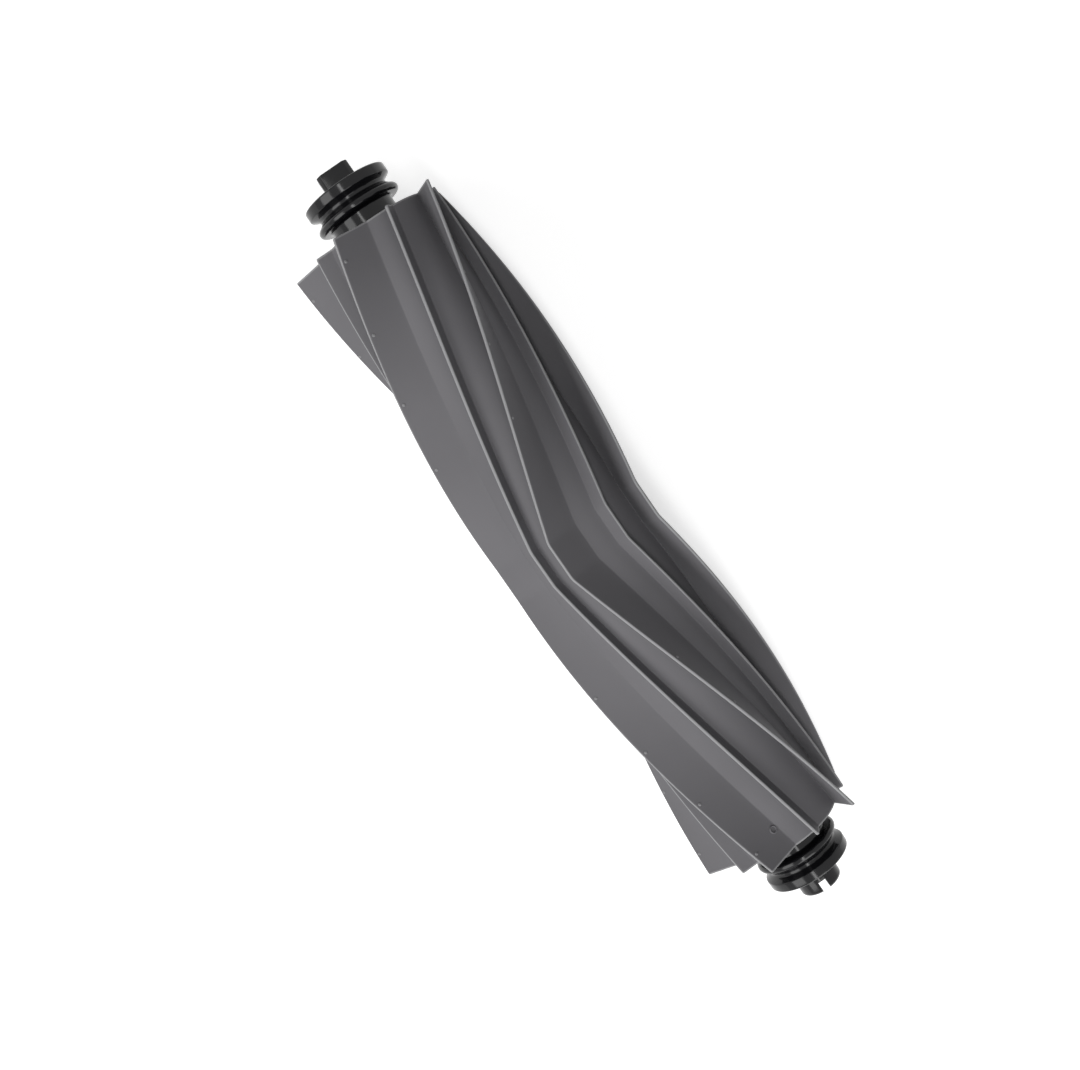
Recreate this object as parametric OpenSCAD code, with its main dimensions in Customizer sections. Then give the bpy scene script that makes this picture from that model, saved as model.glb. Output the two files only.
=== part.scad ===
// Main roller of a robot vacuum cleaner
// One rubber moulding, a drum with five tall and five short V-shaped fins, sits on a rigid tube.
// A spool plugs each end of the tube. The left spool has the square boss that the motor turns.
// The right spool turns on a small ball bearing round a pin, which a slotted cap holds still.
// The roller's axis runs along X, +Z is up, and the part lies on the tips of its tall fins.
// Angles round the roller run from the top towards the front, which is -Y.

/* [Rubber sleeve] */
// Length of the rubber sleeve
rubber_l = 160; // [120:1:220]
// Thickness of the rubber on the tube, between the fins
rubber_t = 2.5; // [1.8:0.1:3.5]
// Height of the tall fins above that
tall_h = 6.5; // [5:0.1:10]
// Height of the short fins above that
short_h = 2.8; // [1.8:0.1:3.5]
// Thickness of a fin at its foot
fin_t = 1.1; // [0.8:0.1:1.4]
// Thickness of a fin at its tip
tip_t = 0.8; // [0.6:0.1:1]
// Size of the fillet where a fin leaves the drum
fin_root = 0.4; // [0.2:0.1:0.7]
// Straight stretch of each fin at the point of its V
point_l = 8.8; // [4:0.2:20]
// Pairs of a tall and a short fin round the drum
fin_pairs = 5; // [4:1:6]

/* [Fin angles] */
// Turn of the fins' roots from the point of the V to the sleeve's end
root_twist = 72; // [45:0.5:80]
// Turn of the tall fins' tips from the point of the V to the sleeve's end
tall_tip_twist = 70.5; // [50:0.5:75]
// Turn of the short fins' tips from the point of the V to the sleeve's end
short_tip_twist = 63; // [50:0.5:72]
// Lead of a tall fin's tip over its root, at the point of the V
tall_lean = 16.8; // [8:0.2:20]
// Lag of a short fin's tip behind its root, at the point of the V
short_lag = 2.7; // [1:0.1:6]
// Angle from a tall fin's root to the root of the short fin ahead of it
short_offset = 43.2; // [38:0.2:48]

/* [Core tube] */
// Outer diameter of the tube under the rubber
tube_d = 22; // [19:0.2:25]
// Wall of the tube between its end seats
tube_wall = 2.2; // [1.6:0.1:2.6]
// Depth of the seats in the tube's wall, and height of the keys in them
key_h = 0.6; // [0.3:0.1:1]
// Depth of the seat, and length of the plug that fills it
plug_l = 14; // [8:0.5:20]
// Width of the keys that turn the tube with its spools
key_w = 2; // [1:0.1:3]
// Number of keys in each seat
key_count = 3; // [2:1:4]

/* [End spools] */
// Diameter of the neck between the rubber and the inner flange
neck_d = 15; // [13:0.2:16]
// Length of the neck
neck_l = 3.9; // [3:0.1:6]
// Rounding between the neck and the inner flange
neck_round = 0.6; // [0.2:0.1:0.8]
// Diameter of both flanges
flange_d = 20; // [19:0.2:24]
// Width of the inner flange, which is rounded right over
inner_rim_w = 1.8; // [1:0.1:2.4]
// Width of the groove between the flanges
groove_w = 2.3; // [1.4:0.1:4]
// Diameter at the bottom of the groove
groove_d = 16.6; // [15.6:0.2:17.6]
// Width of the outer flange's rim
outer_rim_w = 2.4; // [1.4:0.1:4]
// Rounding of the outer flange's edges
rim_round = 0.45; // [0.1:0.05:0.5]
// Wall of the plug inside the tube
plug_wall = 2.4; // [1.6:0.1:3]
// Diameter of the hollow inside the neck
hollow_d = 10; // [8.8:0.2:10.4]

/* [Drive boss] */
// Width of the square boss across its flats
boss_w = 7.6; // [6:0.1:9]
// Length of the boss beyond the spool
boss_l = 4.4; // [3:0.1:12]
// Bevel along the boss's four edges
boss_bevel = 1; // [0.3:0.1:1.5]
// Turn of the boss against a tall fin's root
boss_turn = -6; // [-45:1:45]
// Thickness of the drive spool's end wall, under the boss
end_wall = 2.9; // [1.5:0.1:4]

/* [Bearing] */
// Outer diameter of the ball bearing
bearing_d = 8; // [7.6:0.1:8.2]
// Bore of the ball bearing and diameter of the pin
pin_d = 3; // [2.8:0.1:3.2]
// Width of the ball bearing
bearing_w = 4; // [3.4:0.1:4.4]
// Diameter of a ball
ball_d = 1.588; // [1.4:0.02:1.6]
// Number of balls
ball_count = 7; // [5:1:7]
// Thickness of the shoulder that the bearing sits against
shoulder_t = 1; // [0.6:0.1:1.6]
// Thickness of the felt washer outside the bearing
felt_t = 0.8; // [0.4:0.1:1.2]
// Thickness of the clip that holds the pin
clip_t = 0.6; // [0.4:0.1:0.8]
// Diameter of the clip
clip_d = 6; // [5.4:0.1:6.4]
// Length of the pin inside its clip
pin_stub_l = 0.8; // [0.4:0.1:1.5]

/* [Bearing cap] */
// Diameter of the cap
cap_d = 10; // [8:0.2:12]
// Length of the cap outside the spool
cap_l = 5.2; // [4:0.1:8]
// Width of the slot that keeps the cap from turning
slot_w = 1.8; // [1:0.1:3]
// Depth of the slot
slot_depth = 2.6; // [1:0.1:3.2]
// Thickness of the plastic between the slot and the pin
slot_floor_t = 0.4; // [0.2:0.1:0.8]
// Rounding of the cap's two tabs
tab_round = 1; // [0.3:0.1:1.5]
// Turn of the slot from upright
slot_turn = 4; // [-90:1:90]

/* [Fits] */
// Gap round what is pressed or bonded in place
press_gap = 0.02; // [0.01:0.01:0.04]
// Gap round what turns or slides
run_gap = 0.1; // [0.06:0.02:0.14]
// Gap between a ball and its track
ball_gap = 0.04; // [0.02:0.01:0.06]
// Gap between the pin's clip and the spool's shoulder
clip_gap = 0.4; // [0.2:0.1:0.6]
// Gap between the bearing cap and the spool's end
cap_gap = 0.3; // [0.2:0.05:0.6]

/* [Hidden] */

round_fn = 96;
// One overrun serves every cut
over = 0.5 * plug_l;

// Core tube, and the drum and fins round it
tube_bore_d = tube_d - 2 * tube_wall;
seat_d = tube_bore_d + 2 * key_h;
drum_r = tube_d / 2 + rubber_t;
tall_r = drum_r + tall_h;
short_r = drum_r + short_h;
pitch = 360 / fin_pairs;
twist_steps = 12;
// Depth of a fin's foot inside the drum
fin_sink = fin_root;
step_l = (rubber_l - point_l) / 2 / twist_steps;
// The steps of the twist, counted from the point of the V, at the stations along the sleeve
// One step more on each side runs past the sleeve's end, where the fins are cut flush
swept_steps = twist_steps + 1;
station_steps = [for (i = [-swept_steps : 0]) i, for (i = [0 : swept_steps]) i];
station_sides = [for (i = [0 : swept_steps]) -1, for (i = [0 : swept_steps]) 1];
swept_l = rubber_l + 2 * step_l;
// The part lies on one tall fin, between two steps of its twist near each end
floor_fin = 3;
floor_step = twist_steps - 1.5;
lying_turn = 180 - (floor_fin * pitch + tall_lean - tall_tip_twist * floor_step / twist_steps);

// Spools, measured outwards from the rubber's end
spool_l = neck_l + inner_rim_w + groove_w + outer_rim_w;
groove_x = neck_l + inner_rim_w;
outer_rim_x = groove_x + groove_w;
// Slope of the groove's flanks against the axis
flank_a = 55;

// Bearing and pin, measured outwards from the rubber's end
bearing_x = spool_l - felt_t - bearing_w;
pitch_r = (bearing_d + pin_d) / 4;
ring_step = (bearing_d - pin_d) / 2;
// Half the space between the two rings, and the cage's wall, as shares of the step from bore to outside
land_share = 0.22;
cage_t_share = 0.22;
// The cage's and each shield's width, as shares of the bearing's width
cage_w_share = 0.55;
shield_share = 0.05;
outer_land_r = pitch_r + land_share * ring_step;
inner_land_r = pitch_r - land_share * ring_step;
race_r = ball_d / 2 + ball_gap;
cage_t = cage_t_share * ring_step;
cage_w = cage_w_share * bearing_w;
shield_t = shield_share * bearing_w;
spigot_r = inner_land_r - run_gap;
clip_x = bearing_x - shoulder_t - clip_gap - clip_t;
// The clip sits in a neck of this share of the pin, and its mouth and notches are shares of the neck
clip_neck_share = 0.77;
mouth_share = 0.8;
notch_share = 0.5;
clip_neck_d = clip_neck_share * pin_d;
pin_in_x = clip_x - pin_stub_l;
pin_out_x = spool_l + cap_gap + cap_l - slot_depth - slot_floor_t;

// The rubber's middle lies this far to the left of the middle of the whole part
mid_x = (cap_gap + cap_l - boss_l) / 2;

// Place of a point at radius r and angle a, as [y, z]
function around(r, a) = [-r * sin(a), r * cos(a)];
function unit(v) = v / norm(v);

function is_tall(k) = k % 2 == 0;
function root_angle(k, turned) =
    pitch * floor(k / 2) + (is_tall(k) ? 0 : short_offset) - root_twist * turned;
function tip_angle(k, turned) = pitch * floor(k / 2)
    + (is_tall(k) ? tall_lean - tall_tip_twist * turned
                  : short_offset - short_lag - short_tip_twist * turned);

// Outline of one fin, from its foot at the back over its rounded tip to its foot at the front
function fin_outline(k, turned) =
    let (a = root_angle(k, turned),
         root = around(drum_r, a),
         tip = around((is_tall(k) ? tall_r : short_r) - tip_t / 2, tip_angle(k, turned)),
         along = unit(tip - root),
         back = [along[1], -along[0]],
         crown = atan2(unit(tip) * along, unit(tip) * back),
         foot_w = fin_t / 2 / (along * unit(root)) + fin_root + fin_sink,
         foot = foot_w / drum_r * 180 / PI)
    [around(drum_r - fin_sink, a - foot),
     root + fin_t / 2 * back + fin_root * along,
     for (b = [0, crown / 2, crown, (crown + 180) / 2, 180])
         tip + tip_t / 2 * (cos(b) * back + sin(b) * along),
     root - fin_t / 2 * back + (fin_root + fin_t / 2) * along,
     around(drum_r - fin_sink, a + foot)];

// One fin, whose outline turns from the V's point outwards on both sides
module fin(k) {
    points = [for (i = [0 : len(station_steps) - 1])
        let (turned = abs(station_steps[i]) / twist_steps,
             x = station_sides[i] * point_l / 2 + station_steps[i] * step_l)
        for (p = fin_outline(k, turned)) [x, p[0], p[1]]];
    size = len(points) / len(station_steps);
    sides = [for (i = [0 : len(station_steps) - 2], j = [0 : size - 1])
        let (a = i * size + j,
             b = i * size + (j + 1) % size,
             c = b + size,
             d = a + size)
        each (i < swept_steps ? [[a, d, b], [d, c, b]] : [[a, d, c], [a, c, b]])];
    left_end = [for (j = [0 : size - 1]) j];
    right_end = [for (j = [1 : size]) len(points) - j];
    polyhedron(points = points, faces = concat(sides, [left_end, right_end]), convexity = 4);
}

// Points of an arc, for the rounded edges of a turned profile
function arc(x, y, r, from, to, steps = 5) =
    [for (i = [0 : steps]) let (a = from + (to - from) * i / steps) [x + r * cos(a), y + r * sin(a)]];

// A profile of [radius, place along the axis] turned round the roller's axis
module turned(points) rotate([0, 90, 0]) rotate_extrude($fn = round_fn) polygon(points);
// A round bar or hole along the axis from one place to another
module bar(d, from, to) translate([from, 0, 0]) rotate([0, 90, 0])
    cylinder(d = d, h = to - from, $fn = round_fn);
// Everything is modelled round the rubber's middle, and placed here as it lies
module lying() translate([-mid_x, 0, 0]) rotate([lying_turn, 0, 0]) children();
// Moves what is measured from the rubber's end out to the right end, or mirrors it to the left
module right_end() lying() translate([rubber_l / 2, 0, 0]) children();
module left_end() lying() mirror([1, 0, 0]) translate([rubber_l / 2, 0, 0]) children();

// Neck, two flanges with a rounded groove between them, and the plug that the tube takes
module spool_outside() {
    plug_r = seat_d / 2 - press_gap;
    rim_r = flange_d / 2;
    crown_r = inner_rim_w / 2;
    bottom_r = groove_w / 3;
    turned(concat(
        [[0, -plug_l], [plug_r - rim_round, -plug_l], [plug_r, -plug_l + rim_round], [plug_r, 0],
         [neck_d / 2, 0]],
        arc(neck_d / 2 + neck_round, neck_l - neck_round, neck_round, 180, 90),
        arc(rim_r - crown_r, neck_l + crown_r, crown_r, -90, flank_a, 8),
        arc(groove_d / 2 + bottom_r, groove_x + groove_w / 2, bottom_r, 180 + flank_a, 180 - flank_a, 6),
        arc(rim_r - rim_round, outer_rim_x + rim_round, rim_round, -flank_a, 0),
        arc(rim_r - rim_round, spool_l - rim_round, rim_round, 0, 90),
        [[0, spool_l]]));
}

// The slots in the plug that take the tube's keys
module key_slots() {
    slot_out = seat_d / 2 + over;
    slot_in = seat_d / 2 - key_h - run_gap;
    for (i = [0 : key_count - 1])
        rotate([i * 360 / key_count, 0, 0])
            translate([-plug_l - over, -key_w / 2 - run_gap, slot_in])
                cube([plug_l + over, key_w + 2 * run_gap, slot_out - slot_in]);
}

module rubber_sleeve() color("dimgray") lying() difference() {
    union() {
        bar(2 * drum_r, -swept_l / 2, swept_l / 2);
        for (k = [0 : 2 * fin_pairs - 1]) fin(k);
    }
    bar(tube_d + 2 * press_gap, -swept_l, swept_l);
    for (side = [0, 1]) mirror([side, 0, 0]) bar(3 * tall_r, rubber_l / 2, swept_l);
}

module core_tube() color("#202124") lying() difference() {
    bar(tube_d, -rubber_l / 2, rubber_l / 2);
    bar(tube_bore_d, -rubber_l / 2 - over, rubber_l / 2 + over);
    for (side = [0, 1]) mirror([side, 0, 0]) difference() {
        bar(seat_d, rubber_l / 2 - plug_l, rubber_l / 2 + over);
        for (i = [0 : key_count - 1])
            rotate([i * 360 / key_count, 0, 0])
                translate([rubber_l / 2 - plug_l - over, -key_w / 2, 0])
                    cube([plug_l + 2 * over, key_w, seat_d]);
    }
}

module drive_spool() color("#17181a") left_end() {
    difference() {
        spool_outside();
        key_slots();
        bar(seat_d - 2 * plug_wall, -plug_l - over, -plug_wall);
        bar(hollow_d, -plug_l - over, spool_l - end_wall);
    }
    rotate([boss_turn, 0, 0]) boss();
}

// Square boss with bevelled edges and a small lead-in at its end
module boss() {
    half = boss_w / 2;
    corner = half - boss_bevel;
    lead = boss_bevel / 3;
    octagon = [[half, -corner], [half, corner], [corner, half], [-corner, half],
               [-half, corner], [-half, -corner], [-corner, -half], [corner, -half]];
    intersection() {
        translate([spool_l - end_wall / 2, 0, 0]) rotate([90, 0, 90])
            linear_extrude(boss_l + end_wall / 2) polygon(octagon);
        turned([[0, 0], [boss_w, 0], [boss_w, spool_l + boss_l - boss_w + norm([half, corner]) - lead],
                [norm([half, corner]) - lead, spool_l + boss_l], [0, spool_l + boss_l]]);
    }
}

module bearing_spool() color("#17181a") right_end() difference() {
    spool_outside();
    key_slots();
    bar(seat_d - 2 * plug_wall, -plug_l - over, -plug_wall);
    bar(hollow_d, -plug_l - over, bearing_x - shoulder_t);
    bar(2 * outer_land_r, 0, spool_l);
    bar(bearing_d + 2 * press_gap, bearing_x, spool_l + over);
    bar(cap_d, spool_l - felt_t, spool_l + over);
}

// The track that the balls roll in
module race() translate([bearing_x + bearing_w / 2, 0, 0]) rotate([0, 90, 0])
    rotate_extrude($fn = round_fn) translate([pitch_r, 0]) circle(r = race_r, $fn = 48);

module ball_places() for (i = [0 : ball_count - 1])
    translate([bearing_x + bearing_w / 2, 0, 0])
        rotate([i * 360 / ball_count, 0, 0]) translate([0, 0, pitch_r]) children();

module bearing_outer_ring() color("silver") right_end() difference() {
    bar(bearing_d, bearing_x, bearing_x + bearing_w);
    bar(2 * outer_land_r, bearing_x - over, bearing_x + bearing_w + over);
    race();
}

module bearing_inner_ring() color("silver") right_end() difference() {
    bar(2 * inner_land_r, bearing_x, bearing_x + bearing_w);
    bar(pin_d + 2 * press_gap, bearing_x - over, bearing_x + bearing_w + over);
    race();
}

module bearing_balls() color("gainsboro") right_end() ball_places() sphere(d = ball_d, $fn = 48);

module bearing_cage() color("goldenrod") right_end() difference() {
    bar(2 * pitch_r + cage_t, bearing_x + (bearing_w - cage_w) / 2, bearing_x + (bearing_w + cage_w) / 2);
    bar(2 * pitch_r - cage_t, bearing_x - over, bearing_x + bearing_w + over);
    ball_places() sphere(r = race_r, $fn = 48);
}

// A thin washer that closes the bearing between its two rings
module shield(x) difference() {
    bar(2 * (outer_land_r - press_gap), x, x + shield_t);
    bar(2 * (inner_land_r + run_gap), x - over, x + bearing_w + over);
}

module inner_shield() color("lightsteelblue") right_end() shield(bearing_x + shield_t);
module outer_shield() color("lightsteelblue") right_end() shield(bearing_x + bearing_w - 2 * shield_t);

module felt_washer() color("#55524c") right_end() difference() {
    bar(cap_d - 2 * press_gap, spool_l - felt_t + press_gap, spool_l);
    bar(2 * (spigot_r + run_gap), 0, spool_l + over);
}

module axle_pin() color("lightgray") right_end() difference() {
    lead = pin_d / 10;
    turned([[0, pin_in_x], [pin_d / 2 - lead, pin_in_x], [pin_d / 2, pin_in_x + lead],
            [pin_d / 2, pin_out_x - lead], [pin_d / 2 - lead, pin_out_x], [0, pin_out_x]]);
    difference() {
        bar(2 * pin_d, clip_x - press_gap, clip_x + clip_t + press_gap);
        bar(clip_neck_d, clip_x - over, clip_x + over);
    }
}

module pin_spacer() color("silver") right_end() difference() {
    bar(2 * spigot_r, clip_x + clip_t + press_gap, bearing_x - press_gap);
    bar(pin_d + 2 * press_gap, clip_x - over, bearing_x + over);
}

// Spring clip with one mouth and two relief notches
module retaining_clip() color("darkgray") right_end() difference() {
    mouth_w = mouth_share * clip_neck_d;
    notch_d = notch_share * clip_neck_d;
    bar(clip_d, clip_x, clip_x + clip_t);
    bar(clip_neck_d + 2 * press_gap, clip_x - over, clip_x + over);
    translate([clip_x - over, -mouth_w / 2, 0]) cube([2 * over, mouth_w, clip_d]);
    for (a = [120, 240])
        rotate([a, 0, 0]) translate([0, 0, clip_neck_d / 2]) bar(notch_d, clip_x - over, clip_x + over);
}

module bearing_cap() color("#17181a") right_end() difference() {
    face_x = spool_l + cap_gap;
    end_x = face_x + cap_l;
    edge = tab_round / 4;
    turned(concat(
        [[0, bearing_x + bearing_w + press_gap], [spigot_r, bearing_x + bearing_w + press_gap],
         [spigot_r, face_x], [cap_d / 2 - edge, face_x], [cap_d / 2, face_x + edge]],
        arc(cap_d / 2 - tab_round, end_x - tab_round, tab_round, 0, 90),
        [[0, end_x]]));
    bar(pin_d + 2 * press_gap, bearing_x, pin_out_x + press_gap);
    rotate([slot_turn - lying_turn, 0, 0])
        translate([end_x - slot_depth, -slot_w / 2, -cap_d]) cube([slot_depth + over, slot_w, 2 * cap_d]);
}

rubber_sleeve();
core_tube();
drive_spool();
bearing_spool();
bearing_outer_ring();
bearing_inner_ring();
bearing_balls();
bearing_cage();
inner_shield();
outer_shield();
felt_washer();
axle_pin();
pin_spacer();
retaining_clip();
bearing_cap();
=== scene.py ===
"""Looks of a robot vacuum's main roller: a finned rubber sleeve between two glossy black spools.

The sleeve, the spools and the bearing cap are remodelled finely round the roller's own axis.
The bearing and what else is inside keep their solids and get their finishes here.
"""

import math

import bmesh
import bpy
from bpy.props import FloatProperty, FloatVectorProperty, IntProperty, PointerProperty
from mathutils import Euler, Matrix, Vector


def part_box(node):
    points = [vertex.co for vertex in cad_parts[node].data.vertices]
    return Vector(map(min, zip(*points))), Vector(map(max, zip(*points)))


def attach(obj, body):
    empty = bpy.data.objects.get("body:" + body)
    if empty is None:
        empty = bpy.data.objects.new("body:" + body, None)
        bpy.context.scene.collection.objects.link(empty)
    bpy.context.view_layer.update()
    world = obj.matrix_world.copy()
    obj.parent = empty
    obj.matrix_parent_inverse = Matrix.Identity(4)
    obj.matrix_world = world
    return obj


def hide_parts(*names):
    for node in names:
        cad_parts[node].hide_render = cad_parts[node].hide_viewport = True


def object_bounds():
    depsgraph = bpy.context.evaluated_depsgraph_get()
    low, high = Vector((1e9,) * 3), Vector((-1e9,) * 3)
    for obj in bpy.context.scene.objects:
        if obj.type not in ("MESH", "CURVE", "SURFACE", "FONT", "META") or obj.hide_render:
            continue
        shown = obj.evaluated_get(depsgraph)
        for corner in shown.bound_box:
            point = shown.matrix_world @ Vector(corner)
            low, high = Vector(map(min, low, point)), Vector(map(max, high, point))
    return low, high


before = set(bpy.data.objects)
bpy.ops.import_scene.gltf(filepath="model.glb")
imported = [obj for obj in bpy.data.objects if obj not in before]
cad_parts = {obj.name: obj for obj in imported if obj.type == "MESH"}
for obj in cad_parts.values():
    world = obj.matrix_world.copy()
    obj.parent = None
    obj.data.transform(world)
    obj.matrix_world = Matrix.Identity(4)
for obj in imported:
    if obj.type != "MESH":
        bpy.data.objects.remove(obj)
cad_low, cad_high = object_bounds()

bl_info = {
    "name": "Robot vacuum roller",
    "version": (1, 0, 0),
    "blender": (4, 5, 0),
    "location": "View3D > Sidebar > Roller",
    "description": "Builds a finned rubber roller with its spools, finishes and studio",
    "category": "Add Mesh",
}

MM = 0.001
SAME_PLACE = 0.001 * MM
SHARP_EDGE = math.radians(35)
ROUND_STEPS = 128
SLEEVE_LOW, SLEEVE_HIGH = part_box("rubber_sleeve")
SLEEVE_L = SLEEVE_HIGH.x - SLEEVE_LOW.x
SLEEVE_MIDDLE_X = (SLEEVE_HIGH.x + SLEEVE_LOW.x) / 2
LEFT, RIGHT = -1, 1


class SleeveSizes(bpy.types.PropertyGroup):
    """Sizes of the rubber sleeve and its fins"""

    bore_r: FloatProperty(
        name="Bore", description="Radius of the sleeve's bore",
        default=11.01 * MM, unit="LENGTH")
    drum_r: FloatProperty(
        name="Drum", description="Radius of the rubber between the fins",
        default=13.5 * MM, unit="LENGTH")
    tall_r: FloatProperty(
        name="Tall fins", description="Radius over the tips of the tall fins",
        default=20 * MM, unit="LENGTH")
    short_r: FloatProperty(
        name="Short fins", description="Radius over the tips of the short fins",
        default=16.3 * MM, unit="LENGTH")
    pairs: IntProperty(
        name="Pairs", description="Pairs of a tall and a short fin", default=5, min=3)
    root_t: FloatProperty(
        name="Root thickness", description="Thickness of a fin at its root",
        default=1.1 * MM, unit="LENGTH")
    tip_t: FloatProperty(
        name="Tip thickness", description="Thickness of a fin at its rounded tip",
        default=0.8 * MM, unit="LENGTH")
    tip_gap: FloatProperty(
        name="Tip gap", description="Distance from a flank's last point to the tip's centre",
        default=0.1 * MM, unit="LENGTH")
    fillet: FloatProperty(
        name="Fillet", description="Size of the fillet along a fin's root",
        default=0.2 * MM, unit="LENGTH")
    edge_round: FloatProperty(
        name="End edges", description="Rounding of the edges at the sleeve's ends",
        default=0.25 * MM, unit="LENGTH")
    # Painted highlight: the paler band along the sleeve's ends
    highlight_band_w: FloatProperty(
        name="End line", description="Width of the paler line along the sleeve's ends",
        default=0.5 * MM, unit="LENGTH")
    point_l: FloatProperty(
        name="Point", description="Straight stretch of each fin at the point of its V",
        default=8.8 * MM, unit="LENGTH")
    bend_l: FloatProperty(
        name="Bend", description="Length over which a fin bends into its twist",
        default=1.6 * MM, unit="LENGTH")
    root_twist: FloatProperty(
        name="Root twist", description="Turn of the roots from the V to the sleeve's end",
        default=math.radians(72), subtype="ANGLE")
    tall_twist: FloatProperty(
        name="Tall tip twist", description="Turn of the tall tips from the V to the end",
        default=math.radians(70.5), subtype="ANGLE")
    short_twist: FloatProperty(
        name="Short tip twist", description="Turn of the short tips from the V to the end",
        default=math.radians(63), subtype="ANGLE")
    tall_lean: FloatProperty(
        name="Tall lean", description="Lead of a tall tip over its root at the V",
        default=math.radians(16.8), subtype="ANGLE")
    short_lag: FloatProperty(
        name="Short lag", description="Lag of a short tip behind its root at the V",
        default=math.radians(2.7), subtype="ANGLE")
    short_offset: FloatProperty(
        name="Short offset", description="Angle from a tall fin's root to the next short one",
        default=math.radians(43.2), subtype="ANGLE")
    floor_fin: IntProperty(
        name="Fin on the floor", description="Which tall fin the roller lies on", default=3)
    floor_share: FloatProperty(
        name="Resting place", description="Share of the twist at which that fin is lowest",
        default=10.5 / 12)
    pip_r: FloatProperty(
        name="Pips", description="Radius of the moulding pips on the tall fins",
        default=0.38 * MM, unit="LENGTH")
    pip_h: FloatProperty(
        name="Pip height", description="Height of the moulding pips",
        default=0.16 * MM, unit="LENGTH")
    # Painted highlight: how much of the pale highlight colour the pips take
    pip_highlight: FloatProperty(
        name="Pip tone", description="How far the pips take the colour of the fins' edges",
        default=0.6)
    pip_drop: FloatProperty(
        name="Pip drop", description="Distance of the pips below the fin's rounded tip",
        default=0.6 * MM, unit="LENGTH")
    pip_start: FloatProperty(
        name="First pip", description="Place of the first pip from the sleeve's middle",
        default=30 * MM, unit="LENGTH")
    pip_step: FloatProperty(
        name="Pip spacing", description="Distance from one pip to the next",
        default=15 * MM, unit="LENGTH")
    pip_count: IntProperty(
        name="Pip count", description="Pips on each half of a tall fin", default=4)
    ring_fin: IntProperty(
        name="Ring's fin", description="Which tall fin bears the ring-shaped mould mark",
        default=1)
    ring_x: FloatProperty(
        name="Ring place", description="Place of the ring mark along the sleeve",
        default=74 * MM, unit="LENGTH")
    ring_drop: FloatProperty(
        name="Ring drop", description="Distance of the ring mark below the fin's rounded tip",
        default=7.6 * MM, unit="LENGTH")
    ring_r: FloatProperty(
        name="Ring", description="Radius of the ring mark", default=0.75 * MM, unit="LENGTH")
    ring_wire: FloatProperty(
        name="Ring line", description="Radius of the raised line of the ring mark",
        default=0.2 * MM, unit="LENGTH")


class SpoolSizes(bpy.types.PropertyGroup):
    """Sizes of the two end spools, measured outwards from the sleeve's end"""

    plug_r: FloatProperty(
        name="Plug", description="Radius of the plug inside the tube",
        default=9.38 * MM, unit="LENGTH")
    plug_l: FloatProperty(
        name="Plug length", description="Length of the plug inside the tube",
        default=14 * MM, unit="LENGTH")
    neck_r: FloatProperty(
        name="Neck", description="Radius of the neck", default=7.5 * MM, unit="LENGTH")
    neck_l: FloatProperty(
        name="Neck length", description="Length of the neck", default=3.9 * MM, unit="LENGTH")
    neck_round: FloatProperty(
        name="Neck rounding", description="Rounding between the neck and the inner flange",
        default=0.6 * MM, unit="LENGTH")
    flange_r: FloatProperty(
        name="Flanges", description="Radius of both flanges", default=10 * MM, unit="LENGTH")
    inner_rim_w: FloatProperty(
        name="Inner flange", description="Width of the inner flange, rounded right over",
        default=1.8 * MM, unit="LENGTH")
    groove_w: FloatProperty(
        name="Groove", description="Width of the groove between the flanges",
        default=2.3 * MM, unit="LENGTH")
    groove_r: FloatProperty(
        name="Groove bottom", description="Radius at the bottom of the groove",
        default=8.3 * MM, unit="LENGTH")
    flank_turn: FloatProperty(
        name="Flanks", description="Slope of the groove's flanks against the axis",
        default=math.radians(55), subtype="ANGLE")
    outer_rim_w: FloatProperty(
        name="Outer rim", description="Width of the outer flange's rim",
        default=2.4 * MM, unit="LENGTH")
    rim_round: FloatProperty(
        name="Rim rounding", description="Rounding of the rims' edges",
        default=0.45 * MM, unit="LENGTH")
    hollow_r: FloatProperty(
        name="Hollow", description="Radius of the hollow inside",
        default=5 * MM, unit="LENGTH")
    felt_r: FloatProperty(
        name="Felt seat", description="Radius of the seat for the felt washer",
        default=5 * MM, unit="LENGTH")
    felt_t: FloatProperty(
        name="Felt seat depth", description="Depth of the seat for the felt washer",
        default=0.8 * MM, unit="LENGTH")
    bearing_r: FloatProperty(
        name="Bearing seat", description="Radius of the bearing's seat",
        default=4.02 * MM, unit="LENGTH")
    bearing_w: FloatProperty(
        name="Bearing seat depth", description="Depth of the bearing's seat",
        default=4 * MM, unit="LENGTH")
    shoulder_r: FloatProperty(
        name="Shoulder", description="Radius inside the bearing's shoulder",
        default=3.3 * MM, unit="LENGTH")
    shoulder_t: FloatProperty(
        name="Shoulder thickness", description="Thickness of the bearing's shoulder",
        default=1 * MM, unit="LENGTH")
    plug_in_r: FloatProperty(
        name="Plug bore", description="Radius inside the plug",
        default=7 * MM, unit="LENGTH")
    plug_wall: FloatProperty(
        name="Plug wall", description="Thickness of the wall at the plug's outer end",
        default=2.4 * MM, unit="LENGTH")
    keys: IntProperty(
        name="Key slots", description="Slots along the plug for the tube's keys",
        default=3, min=1)
    key_w: FloatProperty(
        name="Key slot width", description="Width of a key slot",
        default=2.2 * MM, unit="LENGTH")
    key_r: FloatProperty(
        name="Key slot bottom", description="Distance of a key slot's bottom from the axis",
        default=8.7 * MM, unit="LENGTH")


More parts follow.
